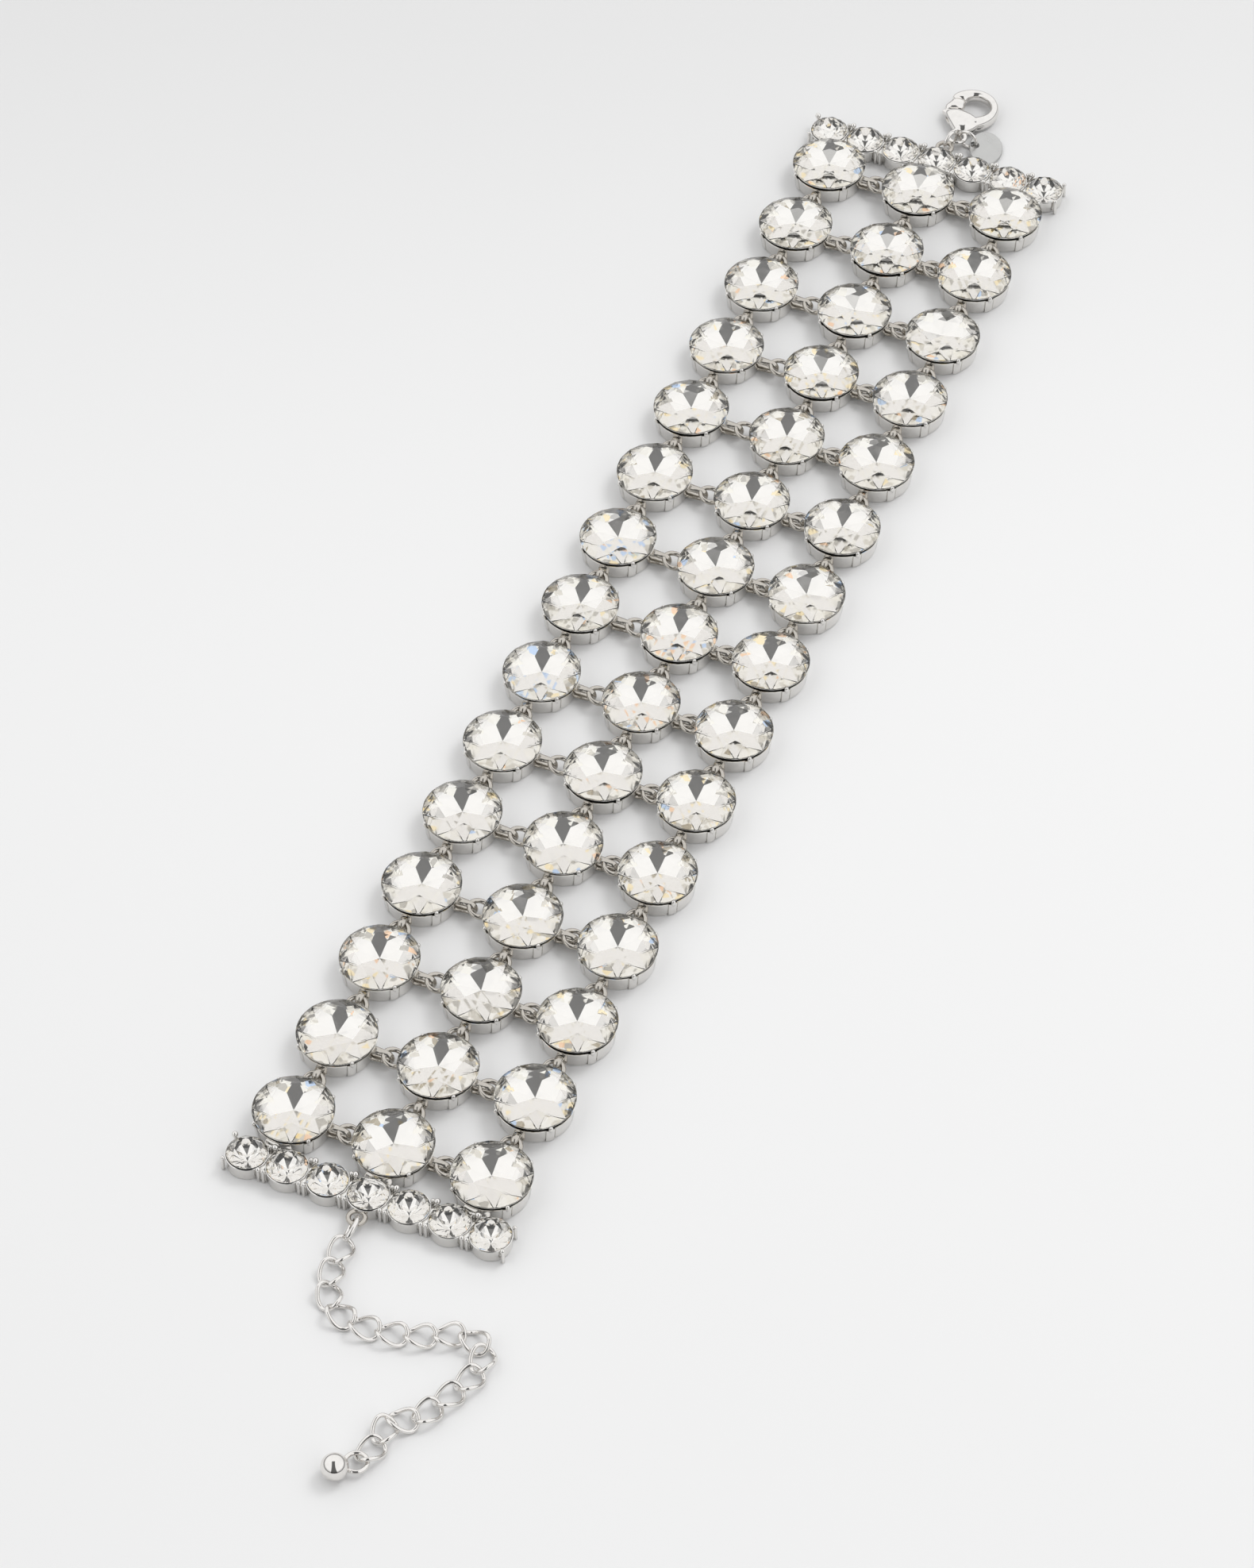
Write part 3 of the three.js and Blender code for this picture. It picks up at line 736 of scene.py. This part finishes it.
def finish_piece(piece, materials, nodes, body=MAIN_BODY, sharp=35):
    piece.data.materials.clear()
    for material in materials:
        piece.data.materials.append(material)
    piece.data.polygons.foreach_set("use_smooth", [True] * len(piece.data.polygons))
    piece.data.set_sharp_from_angle(angle=math.radians(sharp))
    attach(piece, body)
    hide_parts(*nodes)
    return piece


def fuse(piece, voxel, rounds):
    """Joins overlapping forms into one skin and rounds off their seams."""
    remesh = piece.modifiers.new("fuse", "REMESH")
    remesh.mode = "VOXEL"
    remesh.voxel_size = voxel
    relax = piece.modifiers.new("relax", "SMOOTH")
    relax.factor = 0.6
    relax.iterations = rounds


def clasp_body(metal):
    piece = raw_object("clasp_body_metal", clasp_solid())
    fuse(piece, BODY_FUSE["voxel"], BODY_FUSE["rounds"])
    half = LEVER_SLOT["height"] / 2
    low, high = ((u, v, z) for u, v, z in zip(LEVER_SLOT["u"], LEVER_SLOT["v"], (-half, half)))
    knife = raw_object("slot_knife", Shape().add(*block(low, high, LEVER_SLOT["bevel"])))
    cut = piece.modifiers.new("slot", "BOOLEAN")
    cut.operation = "DIFFERENCE"
    cut.solver = "EXACT"
    cut.object = knife
    settle(piece)
    bpy.data.objects.remove(knife)
    return finish_piece(piece, [metal], ["clasp_body"])


def lever_plate():
    """The flat part of the lever that turns in the slot."""
    outline = np.array(smoothed([(*p, 0) for p in LEVER_OUTLINE + LEVER_OUTLINE[:1]], 4)[:-1])
    edges = np.roll(outline, 1, 0) - np.roll(outline, -1, 0)
    normals = np.stack([edges[:, 1], -edges[:, 0]], 1)
    normals /= np.linalg.norm(normals, axis=1)[:, None]
    normals *= np.sign(((outline.mean(0) - outline)[:, :2] * normals).sum(1).mean())
    half = LEVER_THICKNESS / 2
    below = [(depth - half, inset) for depth, inset in LEVER_EDGE]
    above = [(half - depth, inset) for depth, inset in reversed(LEVER_EDGE)]
    rings = []
    for z, inset in below + [(0, 0)] + above:
        ring = outline.copy()
        ring[:, :2] += inset * normals
        ring[:, 2] = z
        rings.append(ring)
    return Shape().add(*skin(rings, caps=True))


def clasp_lever(metal):
    shape = lever_plate()
    rings = []
    for reach, angle, half_width, half_height in smoothed(LEVER_STATIONS, 4):
        centre = np.array([*LEVER_PIVOT, 0]) + polar(reach, angle, 0)
        rings.append(section(centre, polar(1, angle - 90, 0), half_width, half_height))
    shape.add(*skin(rings, caps=True))
    piece = raw_object("clasp_lever_metal", shape)
    fuse(piece, LEVER_FUSE["voxel"], LEVER_FUSE["rounds"])
    settle(piece)
    return finish_piece(piece, [metal], ["clasp_lever"], body=LEVER_BODY)


def jump_ring():
    heading = CLASP_RING["heading"]
    axes = (polar(1, heading, 0), (0, 0, 1))
    path = circle(CLASP_RING["radius"], 40, CLASP_RING["at"], axes)
    return wire_ring(path, CLASP_RING["wire"])


def tag_ring():
    start, end = np.array(TAG_RING["from"]), np.array(TAG_RING["to"])
    along = (end - start) / np.linalg.norm(end - start)
    upright = np.cross(np.cross(along, (0, 0, 1)), along)
    path = circle(TAG_RING["radius"], 40, (start + end) / 2, (along, upright))
    return wire_ring(path, TAG_RING["wire"])


def tag_plate():
    steps, edge, half = TAG["steps"], TAG["edge"], TAG["thickness"] / 2
    angles = np.linspace(0, 2 * np.pi, steps, endpoint=False)
    outer, inner = [], []
    for z, inset in ((-half, edge), (-half + edge, 0), (half - edge, 0), (half, edge)):
        length, width = TAG["half_length"] - inset, TAG["half_width"] - inset
        outer.append(np.stack([length * np.cos(angles), width * np.sin(angles), np.full(steps, z)], 1))
        inner.append(circle(TAG_HOLE["radius"] + inset / 2, steps, (0, TAG_HOLE["offset"], z)))
    rings = outer + inner[::-1]
    shape = Shape().add(*skin(rings, closed_along=True))
    lean = Matrix.Rotation(math.radians(TAG["lean"]), 4, "X")
    return Shape().join(shape, placed(*TAG["at"], TAG["heading"]) @ lean)


# Materials

def new_material(name):
    material = bpy.data.materials.new(name)
    material.use_nodes = True
    nodes = material.node_tree.nodes
    return material, nodes, material.node_tree.links, nodes["Principled BSDF"]


def texture_noise(nodes, links, scale, detail=4.0):
    where = nodes.new("ShaderNodeTexCoord")
    noise = nodes.new("ShaderNodeTexNoise")
    noise.inputs["Scale"].default_value = scale
    noise.inputs["Detail"].default_value = detail
    links.new(where.outputs["Object"], noise.inputs["Vector"])
    return noise


def ranged(nodes, links, source, low, high):
    span = nodes.new("ShaderNodeMapRange")
    span.inputs["From Min"].default_value = 0.3
    span.inputs["From Max"].default_value = 0.7
    span.inputs["To Min"].default_value = low
    span.inputs["To Max"].default_value = high
    links.new(source, span.inputs["Value"])
    return span.outputs["Result"]


def two_tones(nodes, links, source, low, high, places=(0.0, 1.0)):
    """A colour that goes from low to high with the source."""
    ramp = nodes.new("ShaderNodeValToRGB")
    for element, place, colour in zip(ramp.color_ramp.elements, places, (low, high)):
        element.position = place
        element.color = (*colour, 1)
    links.new(source, ramp.inputs["Fac"])
    return ramp.outputs["Color"]


def metal_material(name, colour, rough, grain=900.0, bump=0.02):
    """Plated metal: a slight mottling of colour and polish, and a faint surface unevenness."""
    material, nodes, links, shader = new_material(name)
    shader.inputs["Metallic"].default_value = 1.0
    noise = texture_noise(nodes, links, grain)
    darker = [share * MOTTLE_SHARE for share in colour]
    tone = two_tones(nodes, links, noise.outputs["Fac"], darker, colour, (0.3, 0.7))
    links.new(tone, shader.inputs["Base Color"])
    links.new(ranged(nodes, links, noise.outputs["Fac"], rough[0], rough[1]), shader.inputs["Roughness"])
    uneven = texture_noise(nodes, links, grain * 0.4, 2.0)
    bumps = nodes.new("ShaderNodeBump")
    bumps.inputs["Strength"].default_value = bump
    bumps.inputs["Distance"].default_value = 0.0002
    links.new(uneven.outputs["Fac"], bumps.inputs["Height"])
    links.new(bumps.outputs["Normal"], shader.inputs["Normal"])
    return material


def glass_material():
    material, nodes, links, shader = new_material("clear_crystal")
    shader.inputs["Transmission Weight"].default_value = 1.0
    shader.inputs["IOR"].default_value = 1.56
    noise = texture_noise(nodes, links, 160.0, 2.0)
    tone = two_tones(nodes, links, noise.outputs["Fac"], (0.985, 0.98, 0.955), (1.0, 1.0, 0.995))
    links.new(tone, shader.inputs["Base Color"])
    links.new(ranged(nodes, links, noise.outputs["Fac"], 0.0, 0.012), shader.inputs["Roughness"])
    return material


def foil_coat(name):
    """The mirror coat behind a crystal, before it has its colour."""
    material, nodes, links, shader = new_material(name)
    shader.inputs["Metallic"].default_value = 0.95
    noise = texture_noise(nodes, links, 420.0, 3.0).outputs["Fac"]
    links.new(ranged(nodes, links, noise, 0.03, 0.08), shader.inputs["Roughness"])
    return material, nodes, links, shader.inputs["Base Color"], noise


def mains_material():
    material, nodes, links, colour, noise = foil_coat("foil_mains")
    links.new(two_tones(nodes, links, noise, (0.89, 0.875, 0.855), (0.95, 0.935, 0.92)), colour)
    return material


def halves_material():
    """Small fields of the coat are tinted warm, cool and darker: painted fire glints that stand in for the
    crystals' dispersion.
    """
    material, nodes, links, colour, _ = foil_coat("foil_halves_painted_fire")
    links.new(painted_fire(nodes, links, PAINTED_FIRE_CELLS), colour)
    return material


# Painted fire: Voronoi fields of coloured and darker tints, standing in for glints of dispersed light.
def painted_fire(nodes, links, cells):
    where = nodes.new("ShaderNodeTexCoord")
    fields = nodes.new("ShaderNodeTexVoronoi")
    fields.inputs["Scale"].default_value = cells
    links.new(where.outputs["Object"], fields.inputs["Vector"])
    split = nodes.new("ShaderNodeSeparateColor")
    links.new(fields.outputs["Color"], split.inputs["Color"])
    ramp = nodes.new("ShaderNodeValToRGB")
    ramp.color_ramp.interpolation = "CONSTANT"
    elements = ramp.color_ramp.elements
    while len(elements) < len(PAINTED_FIRE_TINTS):
        elements.new(1.0)
    for element, (start, *colour) in zip(elements, PAINTED_FIRE_TINTS):
        element.position = start
        element.color = (*colour, 1)
    links.new(split.outputs["Red"], ramp.inputs["Fac"])
    return ramp.outputs["Color"]


# Painted shade: a near-black coat inside the cups that stands in for the shade in the gap under each
# stone.
def painted_shade_material():
    material, nodes, links, shader = new_material("painted_shade_inside")
    noise = texture_noise(nodes, links, 700.0, 3.0)
    tone = two_tones(nodes, links, noise.outputs["Fac"], (0.02, 0.02, 0.018), (0.06, 0.055, 0.05))
    links.new(tone, shader.inputs["Base Color"])
    links.new(ranged(nodes, links, noise.outputs["Fac"], 0.4, 0.6), shader.inputs["Roughness"])
    return material


def along(nodes, links, source, direction):
    """How far a place or a direction reaches along the given one."""
    node = nodes.new("ShaderNodeVectorMath")
    node.operation = "DOT_PRODUCT"
    node.inputs[1].default_value = direction
    links.new(source, node.inputs[0])
    return node.outputs["Value"]


def smooth_step(nodes, links, value, span, low=0.0, high=1.0):
    node = nodes.new("ShaderNodeMapRange")
    node.interpolation_type = "SMOOTHSTEP"
    values = {"From Min": span[0], "From Max": span[1], "To Min": low, "To Max": high}
    for name, number in values.items():
        node.inputs[name].default_value = number
    links.new(value, node.inputs["Value"])
    return node.outputs["Result"]


def floor_material():
    """A pale surface, with a painted light falloff that darkens it a little towards its far side."""
    material, nodes, links, shader = new_material("pale_surface")
    noise = texture_noise(nodes, links, 6.0, 2.0)
    low, high = ([tone] * 3 for tone in FLOOR["tones"])
    tone = two_tones(nodes, links, noise.outputs["Fac"], low, high)
    place = nodes.new("ShaderNodeTexCoord").outputs["Object"]
    _, forward = studio_directions()
    far = along(nodes, links, place, tuple(-share for share in forward))
    # painted light falloff: the floor's colour is scaled down towards its far side
    painted_falloff = smooth_step(nodes, links, far, FLOOR["painted_falloff"], 1.0, FLOOR["painted_far_share"])
    dim = nodes.new("ShaderNodeVectorMath")
    dim.operation = "SCALE"
    links.new(tone, dim.inputs[0])
    links.new(painted_falloff, dim.inputs["Scale"])
    links.new(dim.outputs["Vector"], shader.inputs["Base Color"])
    shader.inputs["Roughness"].default_value = 0.9
    shader.inputs["Specular IOR Level"].default_value = 0.1
    return material


# Studio

def studio_directions():
    """Level directions to the right of the set and to its front."""
    az = math.radians(CAMERA["azimuth"])
    return (math.cos(az), math.sin(az), 0), (math.sin(az), -math.cos(az), 0)


def camera_axes():
    el, az = math.radians(CAMERA["elevation"]), math.radians(CAMERA["azimuth"])
    back = Vector((math.sin(az) * math.cos(el), -math.cos(az) * math.cos(el), math.sin(el)))
    right = Vector((math.cos(az), math.sin(az), 0))
    return right, back.cross(right), back


def add_camera():
    right, up, back = camera_axes()
    data = bpy.data.cameras.new("camera")
    data.sensor_fit = "VERTICAL"
    data.sensor_height = CAMERA["sensor"]
    data.lens = CAMERA["lens"]
    data.clip_start, data.clip_end = CAMERA["reach"]
    camera = bpy.data.objects.new("camera", data)
    turn = Matrix((right, up, back)).transposed().to_4x4()
    place = (Vector(CAMERA["target"]) + back * CAMERA["distance"]) * MM
    camera.matrix_world = Matrix.Translation(place) @ turn
    bpy.context.collection.objects.link(camera)
    bpy.context.scene.camera = camera


def add_floor(material):
    size = FLOOR["half_size"]
    corners = [(-size, -size, 0), (size, -size, 0), (size, size, 0), (-size, size, 0)]
    mesh = bpy.data.meshes.new("floor")
    mesh.from_pydata(corners, [], [(0, 1, 2, 3)])
    mesh.materials.append(material)
    floor = bpy.data.objects.new("floor", mesh)
    bpy.context.collection.objects.link(floor)


def math_node(nodes, links, operation, first, second=0.0):
    node = nodes.new("ShaderNodeMath")
    node.operation = operation
    for socket, value in zip(node.inputs, (first, second)):
        if isinstance(value, (int, float)):
            socket.default_value = value
        else:
            links.new(value, socket)
    return node.outputs["Value"]


def front_opening(nodes, links, direction, height):
    """How dark each direction is made by the opening at the front, which narrows upwards."""
    sideways, forward = studio_directions()
    slant = math_node(nodes, links, "MULTIPLY", height, OPENING["slant"])
    sway = math_node(nodes, links, "ADD", along(nodes, links, direction, sideways), slant)
    narrowing = math_node(nodes, links, "MULTIPLY", height, OPENING["narrowing"])
    reach = math_node(nodes, links, "SUBTRACT", OPENING["half_width"], narrowing)
    within = math_node(nodes, links, "SUBTRACT", reach, math_node(nodes, links, "ABSOLUTE", sway))
    inside = smooth_step(nodes, links, within, OPENING["soft_side"])
    front = smooth_step(nodes, links, along(nodes, links, direction, forward), OPENING["soft_back"])
    opening = math_node(nodes, links, "MULTIPLY", inside, front)
    return math_node(nodes, links, "MULTIPLY", opening, OPENING["darkness"])


def add_world():
    """A white tent, darker near the ground, with an opening that the ball and the foils mirror."""
    world = bpy.data.worlds.new("tent")
    bpy.context.scene.world = world
    world.use_nodes = True
    nodes, links = world.node_tree.nodes, world.node_tree.links
    background = nodes["Background"]
    direction = nodes.new("ShaderNodeTexCoord").outputs["Generated"]
    height = along(nodes, links, direction, (0, 0, 1))
    tent = smooth_step(nodes, links, height, (0.0, TENT["full_from"]), TENT["horizon"], 1.0)
    dark = front_opening(nodes, links, direction, height)
    shade = math_node(nodes, links, "MULTIPLY", tent, math_node(nodes, links, "SUBTRACT", 1.0, dark))
    links.new(shade, background.inputs["Color"])
    background.inputs["Strength"].default_value = TENT["strength"]


def add_key_light():
    right, _, back = camera_axes()
    ahead = Vector((-back.x, -back.y, 0)).normalized()
    data = bpy.data.lights.new("key", "AREA")
    data.shape = "DISK"
    data.size = KEY_LIGHT["size"]
    data.energy = KEY_LIGHT["energy"]
    light = bpy.data.objects.new("key", data)
    place = right * KEY_LIGHT["right"] + ahead * KEY_LIGHT["ahead"] + Vector((0, 0, KEY_LIGHT["up"]))
    light.location = place
    light.rotation_euler = (-place).to_track_quat("-Z", "Y").to_euler()
    light.visible_glossy = False
    light.visible_transmission = False
    bpy.context.collection.objects.link(light)


# The necklace and its set

metal = metal_material("rhodium_plating", (0.84, 0.82, 0.795), (0.04, 0.09))
satin = metal_material("cup_plating", (0.85, 0.835, 0.81), (0.07, 0.14))
# The joinery's plating is painted darker and browner than the cups, as shade between the cups and under
# the stones.
joinery_shaded_metal = metal_material("joinery_plating_painted_shade", (0.55, 0.52, 0.475), (0.07, 0.15), 2600.0, 0.24)
tag_metal = metal_material("tag_plating", (0.56, 0.56, 0.55), (0.26, 0.32), 500.0, 0.002)
gem = [glass_material(), mains_material(), halves_material()]
painted_shade = painted_shade_material()

for strip_lane in LANES:
    main_stones(strip_lane, (satin, joinery_shaded_metal), painted_shade, gem)
for bar_side, bar_node in ((1, "clasp_end_bar"), (-1, "chain_end_bar")):
    make_piece(f"{bar_node}_metal", bar_metal(bar_side), [satin, painted_shade], [bar_node])
    make_piece(f"{bar_node}_joinery", bar_joinery(bar_side), [joinery_shaded_metal], [bar_node])
    make_piece(f"{bar_node}_crystals", bar_crystals(bar_side), gem, [bar_node], sharp=None)
chain_points = chain_joints()
make_piece("chain_links", extension_chain(chain_points), [metal], ["extension_chain"])
make_piece("end_ball", chain_ball(chain_points), [metal], ["chain_ball"])
clasp_body(metal)
clasp_lever(metal)
make_piece("jump_ring", jump_ring(), [metal], ["clasp_jump_ring"])
make_piece("tag_link", tag_ring(), [metal], ["tag_ring"])
make_piece("oval_tag", tag_plate(), [tag_metal], ["tag"])

add_floor(floor_material())
add_world()
add_key_light()
add_camera()
bpy.context.scene.view_settings.view_transform = "Standard"
